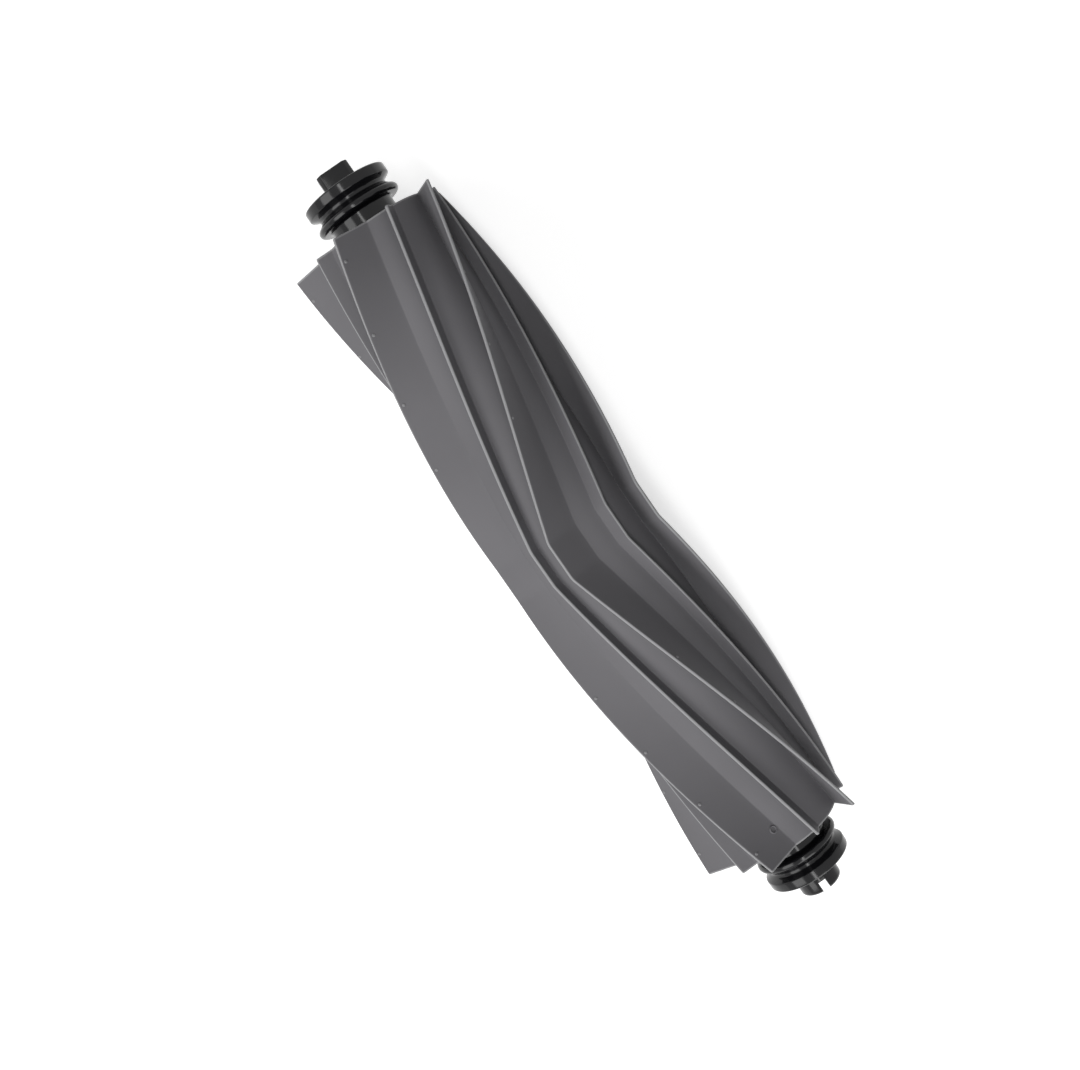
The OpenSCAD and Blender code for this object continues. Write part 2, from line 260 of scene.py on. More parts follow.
class BossSizes(bpy.types.PropertyGroup):
    """Sizes of the square drive boss"""

    width: FloatProperty(
        name="Width", description="Width across the flats", default=7.6 * MM, unit="LENGTH")
    length: FloatProperty(
        name="Length", description="Length beyond the spool", default=4.4 * MM, unit="LENGTH")
    bevel: FloatProperty(
        name="Bevel", description="Bevel along the four edges", default=1 * MM, unit="LENGTH")
    edge_round: FloatProperty(
        name="Edge rounding", description="Rounding of all the boss's edges",
        default=0.25 * MM, unit="LENGTH")
    end_wall: FloatProperty(
        name="End wall", description="Thickness of the spool's wall under the boss",
        default=2.9 * MM, unit="LENGTH")
    turn: FloatProperty(
        name="Turn", description="Turn of the boss against a tall fin's root",
        default=math.radians(-6), subtype="ANGLE")


class CapSizes(bpy.types.PropertyGroup):
    """Sizes of the slotted bearing cap"""

    radius: FloatProperty(
        name="Radius", description="Radius of the cap", default=5 * MM, unit="LENGTH")
    length: FloatProperty(
        name="Length", description="Length outside the spool", default=5.2 * MM, unit="LENGTH")
    gap: FloatProperty(
        name="Gap", description="Gap between the cap and the spool",
        default=0.3 * MM, unit="LENGTH")
    spigot_r: FloatProperty(
        name="Spigot", description="Radius of the spigot behind the cap",
        default=2.1 * MM, unit="LENGTH")
    spigot_l: FloatProperty(
        name="Spigot length", description="Reach of the spigot into the felt washer",
        default=0.78 * MM, unit="LENGTH")
    slot_w: FloatProperty(
        name="Slot", description="Width of the slot", default=1.8 * MM, unit="LENGTH")
    slot_depth: FloatProperty(
        name="Slot depth", description="Depth of the slot", default=2.6 * MM, unit="LENGTH")
    slot_turn: FloatProperty(
        name="Slot turn", description="Turn of the slot from upright",
        default=math.radians(4), subtype="ANGLE")
    slot_round: FloatProperty(
        name="Slot rounding", description="Rounding of the slot's edges",
        default=0.15 * MM, unit="LENGTH")
    pin_r: FloatProperty(
        name="Pin hole", description="Radius of the hole for the pin",
        default=1.52 * MM, unit="LENGTH")
    pin_l: FloatProperty(
        name="Pin hole depth", description="Depth of the hole for the pin",
        default=3.3 * MM, unit="LENGTH")
    back_round: FloatProperty(
        name="Back rounding", description="Rounding of the edge that faces the spool",
        default=0.25 * MM, unit="LENGTH")
    tab_round: FloatProperty(
        name="Tab rounding", description="Rounding of the two tabs",
        default=1 * MM, unit="LENGTH")


class Finishes(bpy.types.PropertyGroup):
    """Colours of the roller's materials"""

    rubber: FloatVectorProperty(
        name="Rubber", description="Colour of the rubber", subtype="COLOR", size=3,
        default=(0.145, 0.142, 0.15))
    # Painted highlight: this pale colour stands in for the light caught by the fins' tips, the end
    # edges and the pips
    rubber_highlight: FloatVectorProperty(
        name="Rubber edges", description="Colour of the polished edges of the fins",
        subtype="COLOR", size=3, default=(0.3, 0.3, 0.305))
    plastic: FloatVectorProperty(
        name="Plastic", description="Colour of the glossy plastic", subtype="COLOR", size=3,
        default=(0.005, 0.005, 0.006))
    tube: FloatVectorProperty(
        name="Tube", description="Colour of the core tube", subtype="COLOR", size=3,
        default=(0.014, 0.014, 0.015))
    steel: FloatVectorProperty(
        name="Steel", description="Colour of the bearing's steel", subtype="COLOR", size=3,
        default=(0.52, 0.52, 0.53))
    cage: FloatVectorProperty(
        name="Cage", description="Colour of the bearing's cage", subtype="COLOR", size=3,
        default=(0.46, 0.35, 0.17))
    felt: FloatVectorProperty(
        name="Felt", description="Colour of the felt washer", subtype="COLOR", size=3,
        default=(0.09, 0.083, 0.072))


class Studio(bpy.types.PropertyGroup):
    """Camera, lamps and floor"""

    camera_place: FloatVectorProperty(
        name="Camera place", description="Place of the camera", subtype="XYZ", size=3,
        default=(-32.93 * MM, -28.65 * MM, 300.9 * MM))
    camera_turn: FloatVectorProperty(
        name="Camera turn", description="Rotation of the camera", subtype="EULER", size=3,
        default=(math.radians(-1.92), math.radians(-6.18), math.radians(55.2)))
    lens: FloatProperty(
        name="Lens", description="Focal length in millimetres", default=46.14)
    floor_r: FloatProperty(
        name="Floor", description="Radius of the floor", default=3.0, unit="LENGTH")
    floor_colour: FloatVectorProperty(
        name="Floor colour", description="Colour of the floor", subtype="COLOR", size=3,
        default=(0.8, 0.8, 0.8))
    floor_glow: FloatProperty(
        name="Floor glow", description="What the floor adds of its own where it is seen",
        default=0.62)
    sky_level: FloatProperty(
        name="Sky level", description="Light that comes from all round", default=0.05)
    key_place: FloatVectorProperty(
        name="Key lamp", description="Place of the key lamp", subtype="XYZ", size=3,
        default=(0, -0.615, 0.43))
    key_size: FloatVectorProperty(
        name="Key size", description="Length along X and width of the lamp", size=2,
        default=(1.0, 0.4), unit="LENGTH")
    key_level: FloatProperty(
        name="Key level", description="Level of light from the key lamp", default=0.85)
    fill_place: FloatVectorProperty(
        name="Fill lamp", description="Place of the fill lamp", subtype="XYZ", size=3,
        default=(0.65, 0, 0.37))
    fill_size: FloatVectorProperty(
        name="Fill size", description="Length along X and width of the lamp", size=2,
        default=(0.4, 0.6), unit="LENGTH")
    fill_level: FloatProperty(
        name="Fill level", description="Level of light from the fill lamp", default=0.42)
    strip_place: FloatVectorProperty(
        name="Strip lamp", description="Place of the long narrow lamp over the roller",
        subtype="XYZ", size=3, default=(0.06, -0.12, 0.63))
    strip_size: FloatVectorProperty(
        name="Strip size", description="Length along X and width of the lamp", size=2,
        default=(1.0, 0.07), unit="LENGTH")
    strip_level: FloatProperty(
        name="Strip level", description="Level of light from the long lamp", default=0.42)


def lying_turn(sleeve):
    """Turn of the roller about its axis when it lies on one of its tall fins"""
    fin = sleeve.floor_fin * math.tau / sleeve.pairs
    return math.pi - (fin + sleeve.tall_lean - sleeve.tall_twist * sleeve.floor_share)


def around(radius, angle):
    """Place across the axis at a radius and an angle from the top towards the front"""
    return Vector((-radius * math.sin(angle), radius * math.cos(angle)))


def arc(cx, cy, radius, start, end, steps=6):
    """Points along an arc, its angles in degrees"""
    return [
        (cx + radius * math.cos(math.radians(start + (end - start) * i / steps)),
         cy + radius * math.sin(math.radians(start + (end - start) * i / steps)))
        for i in range(steps + 1)]


def finish_mesh(bm, name, material):
    """Makes a bmesh the mesh of a new object, smooth apart from its sharp edges"""
    for face in bm.faces:
        face.smooth = True
    for edge in bm.edges:
        edge.smooth = edge.calc_face_angle(math.pi) < SHARP_EDGE
    mesh = bpy.data.meshes.new(name)
    bm.to_mesh(mesh)
    bm.free()
    mesh.materials.append(material)
    piece = bpy.data.objects.new(name, mesh)
    bpy.context.scene.collection.objects.link(piece)
    return piece


def place_on_roller(bm, turn, side=RIGHT, end_x=SLEEVE_L / 2):
    """Moves what was made outwards along +X from the sleeve's end to its place on the roller"""
    bmesh.ops.translate(bm, verts=bm.verts, vec=(end_x, 0, 0))
    if side == LEFT:
        bmesh.ops.scale(bm, verts=bm.verts, vec=(-1, 1, 1))
    bmesh.ops.rotate(bm, verts=bm.verts, cent=(0, 0, 0), matrix=Matrix.Rotation(turn, 3, "X"))
    bmesh.ops.translate(bm, verts=bm.verts, vec=(SLEEVE_MIDDLE_X, 0, 0))
    bmesh.ops.recalc_face_normals(bm, faces=bm.faces)


def lathe(bm, profile):
    """Turns a profile of (place along X, radius) round the X axis"""
    verts = [bm.verts.new((x, 0, radius)) for x, radius in profile]
    edges = [bm.edges.new(pair) for pair in zip(verts, verts[1:])]
    bmesh.ops.spin(
        bm, geom=verts + edges, cent=(0, 0, 0), axis=(1, 0, 0), angle=math.tau,
        steps=ROUND_STEPS, use_merge=True)
    bmesh.ops.remove_doubles(bm, verts=bm.verts, dist=SAME_PLACE)


def edges_among(items, verts):
    """The edges in a list that run between some verts"""
    verts = set(verts)
    return [
        item for item in items
        if isinstance(item, bmesh.types.BMEdge) and verts.issuperset(item.verts)]


def extrude(bm, edges):
    """Extrudes edges. Returns the new verts and the new edges between them"""
    made = bmesh.ops.extrude_edge_only(bm, edges=edges)["geom"]
    verts = [item for item in made if isinstance(item, bmesh.types.BMVert)]
    return verts, edges_among(made, verts)


class FinShape:
    """Works out the sleeve's outline across the axis at any place along it"""

    FLANK_POINTS, TIP_POINTS, FILLET_POINTS, DRUM_POINTS = 5, 8, 4, 5

    def __init__(self, sizes):
        self.s = sizes

    def turned(self, x):
        """Share of the whole twist at a place along the sleeve"""
        s = self.s
        past = abs(x) - s.point_l / 2
        half = s.bend_l / 2
        if past > half:
            eased = past
        elif past > -half:
            eased = (past + half) ** 2 / (4 * half)
        else:
            eased = 0
        return eased / ((SLEEVE_L - s.point_l) / 2)

    def root_and_tip(self, k, turned, shrink):
        """Centres of a fin's root and of its rounded tip"""
        s = self.s
        first = k // 2 * math.tau / s.pairs
        tall = k % 2 == 0
        offset = first + (0 if tall else s.short_offset)
        lean = s.tall_lean if tall else -s.short_lag
        twist = s.tall_twist if tall else s.short_twist
        tip_r = (s.tall_r if tall else s.short_r) - s.tip_t / 2
        root = around(s.drum_r - shrink, offset - s.root_twist * turned)
        return root, around(tip_r, offset + lean - twist * turned)

    def fillet(self, flank, along, side, shrink):
        """Points from the drum up to a flank, round the corner between them"""
        s = self.s
        drum_r = s.drum_r - shrink
        lean = flank.dot(along)
        climb = math.sqrt(lean * lean - flank.length_squared + drum_r ** 2) - lean
        corner = flank + along * climb
        angle = math.atan2(-corner.x, corner.y) + side * s.fillet / drum_r
        ends = around(drum_r, angle), corner + along * s.fillet
        n = self.FILLET_POINTS
        return [
            ends[0] * (1 - t) ** 2 + corner * 2 * t * (1 - t) + ends[1] * t * t
            for t in [i / (n - 1) for i in range(n)]]

    def fin(self, k, turned, shrink):
        """Outline of one fin as (point, share of the painted highlight), from behind to ahead"""
        s = self.s
        root, tip = self.root_and_tip(k, turned, shrink)
        along = (tip - root).normalized()
        behind = Vector((along.y, -along.x))
        root_half, tip_half = s.root_t / 2 - shrink, s.tip_t / 2 - shrink
        back_fillet = self.fillet(root + behind * root_half, along, -1, shrink)
        front_fillet = self.fillet(root - behind * root_half, along, 1, shrink)[::-1]
        height = (tip - root).length
        n = self.FLANK_POINTS

        def flank(side, foot):
            start, stop = (foot - root).dot(along) / height, 1 - s.tip_gap / height
            shares = [start + (stop - start) * i / n for i in range(1, n + 1)]
            return [
                root + (tip - root) * share
                + behind * side * (root_half + (tip_half - root_half) * share)
                for share in shares]

        rim = [
            tip + tip_half * (behind * math.cos(math.pi * i / self.TIP_POINTS)
                              + along * math.sin(math.pi * i / self.TIP_POINTS))
            for i in range(self.TIP_POINTS + 1)]
        return (
            [(p, 0.0) for p in back_fillet + flank(1, back_fillet[-1])]
            # The crown of the rounded tip gets the painted highlight
            + [(p, float(1 < i < self.TIP_POINTS - 1)) for i, p in enumerate(rim)]
            + [(p, 0.0) for p in flank(-1, front_fillet[0])[::-1] + front_fillet])

    def section(self, x, shrink=0.0):
        """The whole outline at a place along the sleeve, drawn in by shrink"""
        turned = self.turned(x)
        fins = [self.fin(k, turned, shrink) for k in range(2 * self.s.pairs)]
        points = []
        for k, fin in enumerate(fins):
            points += fin
            start, end = fin[-1][0], fins[(k + 1) % len(fins)][0][0]
            first = math.atan2(-start.x, start.y)
            span = (math.atan2(-end.x, end.y) - first) % math.tau
            for i in range(1, self.DRUM_POINTS):
                place = around(self.s.drum_r - shrink, first + span * i / self.DRUM_POINTS)
                points.append((place, 0.0))
        return [(Vector((x, p.x, p.y)), rim) for p, rim in points]

    def stations(self, coarse=2.0 * MM, fine=0.5 * MM):
        """Places along one half of the sleeve, closer together where the fins bend"""
        s = self.s
        bend_start, bend_end = (s.point_l - s.bend_l) / 2, (s.point_l + s.bend_l) / 2
        end = SLEEVE_L / 2 - s.highlight_band_w
        places = [0.0, bend_start / 2]
        for start, stop, step in ((bend_start, bend_end, fine), (bend_end, end, coarse)):
            count = math.ceil((stop - start) / step)
            places += [start + (stop - start) * i / count for i in range(count)]
        return places + [end]

    def on_back(self, k, x, drop):
        """Where a moulding mark sits on the back of a fin, below its tip, as a matrix"""
        s = self.s

        def point(place):
            root, tip = self.root_and_tip(k, self.turned(place), 0)
            along = (tip - root).normalized()
            behind = Vector((along.y, -along.x))
            half = s.tip_t / 2 + (s.root_t - s.tip_t) / 2 * drop / (tip - root).length
            return Vector((place, *(tip - along * drop + behind * half))), along

        centre, along = point(x)
        run = (point(x + s.pip_r)[0] - centre).normalized()
        out = Vector((0, *along)).cross(run).normalized()
        axes = Matrix((run, out.cross(run), out)).transposed()
        return Matrix.Translation(centre) @ axes.to_4x4()


def sleeve_rings(shape):
    """The sleeve's outlines from its left end to its right end, with rounded ends"""
    s = shape.s
    end_face_inset = 1.4 * s.edge_round
    half = shape.stations()
    along = [(-x, 0.0, None) for x in half[:0:-1]] + [(x, 0.0, None) for x in half]
    # The rounded end edges get the painted highlight in full, and the flat end face gets none
    rounded = [
        (SLEEVE_L / 2 - s.edge_round * (1 - math.sin(math.radians(a))),
         s.edge_round * (1 - math.cos(math.radians(a))), 1.0)
        for a in (0, 30, 60, 90)]
    rounded.append((SLEEVE_L / 2, end_face_inset, 0.0))
    places = [(-x, shrink, rim) for x, shrink, rim in rounded[::-1]] + along + rounded
    return [
        [(point, mask if rim is None else rim) for point, mask in shape.section(x, shrink)]
        for x, shrink, rim in places]


def extrude_rings(bm, rings):
    """Draws the first ring and extrudes it from ring to ring. Returns the first and last edges"""
    number = bm.verts.layers.int.new("number")
    # rim: share of the painted highlight at each point
    rim = bm.verts.layers.float.new("rim")
    verts = []
    for i, (point, mask) in enumerate(rings[0]):
        vert = bm.verts.new(point)
        vert[number], vert[rim] = i, mask
        verts.append(vert)
    edges = [bm.edges.new(pair) for pair in zip(verts, verts[1:] + verts[:1])]
    first = list(edges)
    for ring in rings[1:]:
        new, edges = extrude(bm, edges)
        for vert in new:
            vert.co, vert[rim] = ring[vert[number]]
    return first, edges


def add_ring(bm, radius, wire, place):
    """Adds a thin ring that lies flat at a place"""
    before = set(bm.verts)
    upright = Matrix.Translation((radius, 0, 0)) @ Matrix.Rotation(math.pi / 2, 4, "X")
    outline = bmesh.ops.create_circle(bm, segments=8, radius=wire, matrix=upright)["verts"]
    bmesh.ops.spin(
        bm, geom=outline + edges_among(bm.edges, outline), cent=(0, 0, 0), axis=(0, 0, 1),
        angle=math.tau, steps=32, use_merge=True)
    ring = [vert for vert in bm.verts if vert not in before]
    bmesh.ops.transform(bm, matrix=place, verts=ring)


def shader_group(name, inputs, outputs):
    """A new shader node group with its sockets. Returns the tree and its two end nodes"""
    tree = bpy.data.node_groups.new(name, "ShaderNodeTree")
    for socket, kind, value in inputs:
        item = tree.interface.new_socket(socket, in_out="INPUT", socket_type=kind)
        if value is not None:
            item.default_value = value
    for socket, kind in outputs:
        tree.interface.new_socket(socket, in_out="OUTPUT", socket_type=kind)
    return tree, tree.nodes.new("NodeGroupInput"), tree.nodes.new("NodeGroupOutput")


def feed(tree, socket, value):
    """Links an output to a socket, or gives the socket a number or a colour"""
    if isinstance(value, bpy.types.NodeSocket):
        tree.links.new(value, socket)
    elif isinstance(value, (int, float)):
        socket.default_value = value
    else:
        socket.default_value = (*value, 1.0)


def math_node(tree, operation, first, second):
    """A math node on two sockets or numbers. Returns its output"""
    node = tree.nodes.new("ShaderNodeMath")
    node.operation = operation
    for socket, value in zip(node.inputs, (first, second)):
        feed(tree, socket, value)
    return node.outputs[0]


def mix_colours(tree, factor, first, second):
    """A colour mix node. Returns its output"""
    node = tree.nodes.new("ShaderNodeMix")
    node.data_type = "RGBA"
    for index, value in ((0, factor), (6, first), (7, second)):
        feed(tree, node.inputs[index], value)
    return node.outputs[2]


def noise_node(tree, vector, scale, detail=2.0):
    """A noise texture. Returns its value"""
    node = tree.nodes.new("ShaderNodeTexNoise")
    node.inputs["Detail"].default_value = detail
    tree.links.new(vector, node.inputs["Vector"])
    feed(tree, node.inputs["Scale"], scale)
    return node.outputs[0]


def moulded_grain_group():
    """Fine grain of a moulded surface, as a normal"""
    tree, start, end = shader_group(
        "moulded_grain",
        [("Vector", "NodeSocketVector", None), ("Scale", "NodeSocketFloat", 2500.0),
         ("Depth", "NodeSocketFloat", 0.02 * MM), ("Strength", "NodeSocketFloat", 0.3)],
        [("Normal", "NodeSocketVector")])
    grain = noise_node(tree, start.outputs["Vector"], start.outputs["Scale"], 3.0)
    bump = tree.nodes.new("ShaderNodeBump")
    tree.links.new(grain, bump.inputs["Height"])
    tree.links.new(start.outputs["Depth"], bump.inputs["Distance"])
    tree.links.new(start.outputs["Strength"], bump.inputs["Strength"])
    tree.links.new(bump.outputs["Normal"], end.inputs["Normal"])
    return tree


def cloudy_tone_group():
    """Slow uneven tone over a surface: a colour, and a roughness that follows it"""
    tree, start, end = shader_group(
        "cloudy_tone",
        [("Vector", "NodeSocketVector", None), ("Scale", "NodeSocketFloat", 60.0),
         ("Colour", "NodeSocketColor", (0.1, 0.1, 0.1, 1.0)),
         ("Variation", "NodeSocketFloat", 0.1),
         ("Roughness", "NodeSocketFloat", 0.5), ("Spread", "NodeSocketFloat", 0.05)],
        [("Colour", "NodeSocketColor"), ("Roughness", "NodeSocketFloat")])
    cloud = noise_node(tree, start.outputs["Vector"], start.outputs["Scale"])
    swing = math_node(tree, "MULTIPLY", math_node(tree, "SUBTRACT", cloud, 0.5), 2.0)
    gain = math_node(
        tree, "ADD", math_node(tree, "MULTIPLY", swing, start.outputs["Variation"]), 1.0)
    scaled = tree.nodes.new("ShaderNodeVectorMath")
    scaled.operation = "SCALE"
    tree.links.new(start.outputs["Colour"], scaled.inputs[0])
    tree.links.new(gain, scaled.inputs["Scale"])
    tree.links.new(scaled.outputs[0], end.inputs["Colour"])
    rough = math_node(
        tree, "ADD", math_node(tree, "MULTIPLY", swing, start.outputs["Spread"]),
        start.outputs["Roughness"])
    tree.links.new(rough, end.inputs["Roughness"])
    return tree


def new_material(name):
    """A material with its tree, its Principled shader and its object coordinates"""
    material = bpy.data.materials.new(name)
    material.use_nodes = True
    tree = material.node_tree
    coordinates = tree.nodes.new("ShaderNodeTexCoord")
    return material, tree, tree.nodes["Principled BSDF"], coordinates.outputs["Object"]


def add_group(tree, name, build, vector, **values):
    """Places a node group, built once for all, in a material with its values"""
    node = tree.nodes.new("ShaderNodeGroup")
    node.node_tree = bpy.data.node_groups.get(name) or build()
    tree.links.new(vector, node.inputs["Vector"])
    for socket, value in values.items():
        node.inputs[socket].default_value = value
    return node


def toned_material(name, colour, roughness, spread, variation=0.1, cloud_scale=60.0,
                   grain_scale=2500.0, grain_strength=0.3, metallic=0.0, specular=0.5):
    """A material with an uneven tone and a fine grain. Returns it, its tree and its tone"""
    material, tree, shader, vector = new_material(name)
    tone = add_group(
        tree, "cloudy_tone", cloudy_tone_group, vector, Scale=cloud_scale,
        Colour=(*colour, 1.0), Variation=variation, Roughness=roughness, Spread=spread)
    grain = add_group(
        tree, "moulded_grain", moulded_grain_group, vector, Scale=grain_scale,
        Strength=grain_strength)
    tree.links.new(tone.outputs["Colour"], shader.inputs["Base Color"])
    tree.links.new(tone.outputs["Roughness"], shader.inputs["Roughness"])
    tree.links.new(grain.outputs["Normal"], shader.inputs["Normal"])
    shader.inputs["Metallic"].default_value = metallic
    shader.inputs["Specular IOR Level"].default_value = specular
    return material, tree, shader, tone


def rubber_material(finishes):
    """Satin grey rubber with a painted highlight along the fins' tips, the sleeve's end edges and
    the pips
    """
    material, tree, shader, tone = toned_material(
        "satin_rubber", finishes.rubber, roughness=0.5, spread=0.05, variation=0.12,
        cloud_scale=45.0, specular=0.1)
    # The rim attribute mixes in the pale colour of the painted highlight
    rim = tree.nodes.new("ShaderNodeAttribute")
    rim.attribute_name = "rim"
    mixed = mix_colours(tree, rim.outputs["Fac"], tone.outputs["Colour"], finishes.rubber_highlight)
    tree.links.new(mixed, shader.inputs["Base Color"])
    return material


def plastic_material(finishes):
    """Glossy black plastic of the spools and the cap"""
    return bpy.data.materials.get("glossy_plastic") or toned_material(
        "glossy_plastic", finishes.plastic, roughness=0.14, spread=0.03, variation=0.2,
        grain_scale=1200.0, grain_strength=0.1, specular=0.3)[0]


def set_finish(material, *nodes):
    """Gives nodes of the frame their finish"""
    for node in nodes:
        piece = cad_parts[node]
        for slot in piece.material_slots:
            slot.material = material


class ROLLER_OT_sleeve(bpy.types.Operator):
    """Models the rubber sleeve with its V-shaped fins"""

    bl_idname = "roller.sleeve"
    bl_label = "Rubber sleeve"

    def execute(self, context):
        sizes = context.scene.roller_sleeve
        shape = FinShape(sizes)
        bm = bmesh.new()
        first, last = extrude_rings(bm, sleeve_rings(shape))
        bore_end = Matrix.Translation((-SLEEVE_L / 2, 0, 0)) @ Matrix.Rotation(math.pi / 2, 4, "Y")
        bore = bmesh.ops.create_circle(
            bm, segments=ROUND_STEPS, radius=sizes.bore_r, matrix=bore_end)
        near = edges_among(bm.edges, bore["verts"])
        far_verts, far = extrude(bm, near)
        bmesh.ops.translate(bm, verts=far_verts, vec=(SLEEVE_L, 0, 0))
        for outline, hole in ((first, near), (last, far)):
            bmesh.ops.triangle_fill(bm, edges=outline + hole, use_beauty=True)
        rim = bm.verts.layers.float["rim"]
        flat = Matrix.Diagonal((sizes.pip_r, sizes.pip_r, sizes.pip_h, 1))
        for k in range(0, 2 * sizes.pairs, 2):
            for i in range(sizes.pip_count):
                for side in (LEFT, RIGHT):
                    x = side * (sizes.pip_start + i * sizes.pip_step)
                    place = shape.on_back(k, x, sizes.pip_drop)
                    pip = bmesh.ops.create_uvsphere(
                        bm, u_segments=12, v_segments=8, radius=1, matrix=place @ flat)
                    # The pips take part of the painted highlight
                    for vert in pip["verts"]:
                        vert[rim] = sizes.pip_highlight
        ring_place = shape.on_back(2 * sizes.ring_fin, sizes.ring_x, sizes.ring_drop)
        add_ring(bm, sizes.ring_r, sizes.ring_wire, ring_place)
        place_on_roller(bm, lying_turn(sizes), end_x=0)
        piece = finish_mesh(bm, "rubber_fins", rubber_material(context.scene.roller_finishes))
        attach(piece, "roller")
        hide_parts("rubber_sleeve")
        return {"FINISHED"}


def spool_length(s):
    """Length of a spool outside the sleeve"""
    return s.neck_l + s.inner_rim_w + s.groove_w + s.outer_rim_w


def spool_outside(s):
    """Outside of a spool as (place along X, radius), from its plug to its outer rim"""
    groove_x = s.neck_l + s.inner_rim_w
    outer_rim_x = groove_x + s.groove_w
    crown_r, bottom_r, slope = s.inner_rim_w / 2, s.groove_w / 3, math.degrees(s.flank_turn)
    r, rim_r = s.rim_round, s.flange_r
    return [
        (-s.plug_l, s.plug_in_r), (-s.plug_l, s.plug_r - r), (-s.plug_l + r, s.plug_r),
        (0, s.plug_r), (0, s.neck_r),
        *arc(s.neck_l - s.neck_round, s.neck_r + s.neck_round, s.neck_round, -90, 0),
        *arc(s.neck_l + crown_r, rim_r - crown_r, crown_r, 180, 90 - slope, 16),
        *arc(groove_x + s.groove_w / 2, s.groove_r + bottom_r, bottom_r,
             270 - slope, 270 + slope, 12),
        *arc(outer_rim_x + r, rim_r - r, r, 90 + slope, 90),
        *arc(spool_length(s) - r, rim_r - r, r, 90, 0)]


def loose_object(name, bm):
    """A passing object of a bmesh, for what only a modifier does"""
    mesh = bpy.data.meshes.new(name)
    bm.to_mesh(mesh)
    bm.free()
    piece = bpy.data.objects.new(name, mesh)
    bpy.context.scene.collection.objects.link(piece)
    return piece


def cut_away(bm, boxes):
    """Cuts boxes, each given as (lowest corner, size, turn about X). Returns the new bmesh"""
    bmesh.ops.recalc_face_normals(bm, faces=bm.faces)
    piece = loose_object("passing", bm)
    bm = bmesh.new()
    for low, size, turn in boxes:
        centre = Vector(low) + Vector(size) / 2
        place = Matrix.Rotation(turn, 4, "X") @ Matrix.Translation(centre)
        bmesh.ops.create_cube(bm, size=1, matrix=place @ Matrix.Diagonal((*size, 1)))
    cutter = loose_object("cutter", bm)
    cut = piece.modifiers.new("cut", "BOOLEAN")
    cut.operation, cut.solver, cut.object = "DIFFERENCE", "EXACT", cutter
    bpy.context.view_layer.update()
    solid = piece.evaluated_get(bpy.context.evaluated_depsgraph_get())
    bm = bmesh.new()
    bm.from_mesh(solid.to_mesh())
    solid.to_mesh_clear()
    bpy.data.objects.remove(cutter)
    bpy.data.objects.remove(piece)
    return bm


def key_slot_boxes(s):
    """The slots along a spool's plug that take the tube's keys"""
    low = (-2 * s.plug_l, -s.key_w / 2, s.key_r)
    size = (2 * s.plug_l, s.key_w, s.plug_r)
    return [(low, size, i * math.tau / s.keys) for i in range(s.keys)]


class ROLLER_OT_drive_spool(bpy.types.Operator):
    """Models the left spool with the square boss that the motor turns"""

    bl_idname = "roller.drive_spool"
    bl_label = "Drive spool"

    def execute(self, context):
        s, boss = context.scene.roller_spool, context.scene.roller_boss
        bm = bmesh.new()
        end_x = spool_length(s)
        lathe(bm, [
            (end_x - boss.end_wall, 0), (end_x - boss.end_wall, s.hollow_r),
            (-s.plug_wall, s.hollow_r), (-s.plug_wall, s.plug_in_r), *spool_outside(s)])
        spool_edges = set(bm.edges)
        bmesh.ops.create_grid(
            bm, x_segments=1, y_segments=1, size=boss.width / 2,
            matrix=Matrix.Translation((end_x, 0, 0)) @ Matrix.Rotation(boss.turn, 4, "X")
            @ Matrix.Rotation(math.pi / 2, 4, "Y"))
        corners = [vert for vert in bm.verts if spool_edges.isdisjoint(vert.link_edges)]
        bmesh.ops.bevel(
            bm, geom=corners, offset=boss.bevel, offset_type="OFFSET", segments=1,
            profile=0.5, affect="VERTICES", material=-1)
        foot = [edge for edge in bm.edges if edge not in spool_edges]
        octagon = [face for face in bm.faces if len(face.verts) == 8]
        top = bmesh.ops.extrude_discrete_faces(bm, faces=octagon)["faces"][0]
        bmesh.ops.translate(bm, verts=top.verts, vec=(boss.length, 0, 0))
        boss_edges = [edge for edge in bm.edges if edge not in spool_edges.union(foot)]
        bmesh.ops.bevel(
            bm, geom=boss_edges, offset=boss.edge_round, offset_type="OFFSET", segments=3,
            profile=0.5, affect="EDGES", material=-1)
        bmesh.ops.triangle_fill(
            bm, edges=[edge for edge in bm.edges if edge.is_boundary], use_beauty=True)
        bm = cut_away(bm, key_slot_boxes(s))
        place_on_roller(bm, lying_turn(context.scene.roller_sleeve), side=LEFT)
        piece = finish_mesh(bm, "drive_end", plastic_material(context.scene.roller_finishes))
        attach(piece, "roller")
        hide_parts("drive_spool")
        return {"FINISHED"}


class ROLLER_OT_bearing_spool(bpy.types.Operator):
    """Models the right spool with its seats for the bearing and the felt washer"""

    bl_idname = "roller.bearing_spool"
    bl_label = "Bearing spool"

    def execute(self, context):
        s = context.scene.roller_spool
        bm = bmesh.new()
        end_x = spool_length(s)
        felt_x = end_x - s.felt_t
        bearing_x = felt_x - s.bearing_w
        profile = [
            *spool_outside(s), (end_x, s.felt_r), (felt_x, s.felt_r), (felt_x, s.bearing_r),
            (bearing_x, s.bearing_r), (bearing_x, s.shoulder_r),
            (bearing_x - s.shoulder_t, s.shoulder_r), (bearing_x - s.shoulder_t, s.hollow_r),
            (-s.plug_wall, s.hollow_r), (-s.plug_wall, s.plug_in_r)]
        lathe(bm, profile + profile[:1])
        bm = cut_away(bm, key_slot_boxes(s))
        place_on_roller(bm, lying_turn(context.scene.roller_sleeve))
        piece = finish_mesh(bm, "bearing_end", plastic_material(context.scene.roller_finishes))
        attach(piece, "roller")
        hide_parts("bearing_spool")
        return {"FINISHED"}


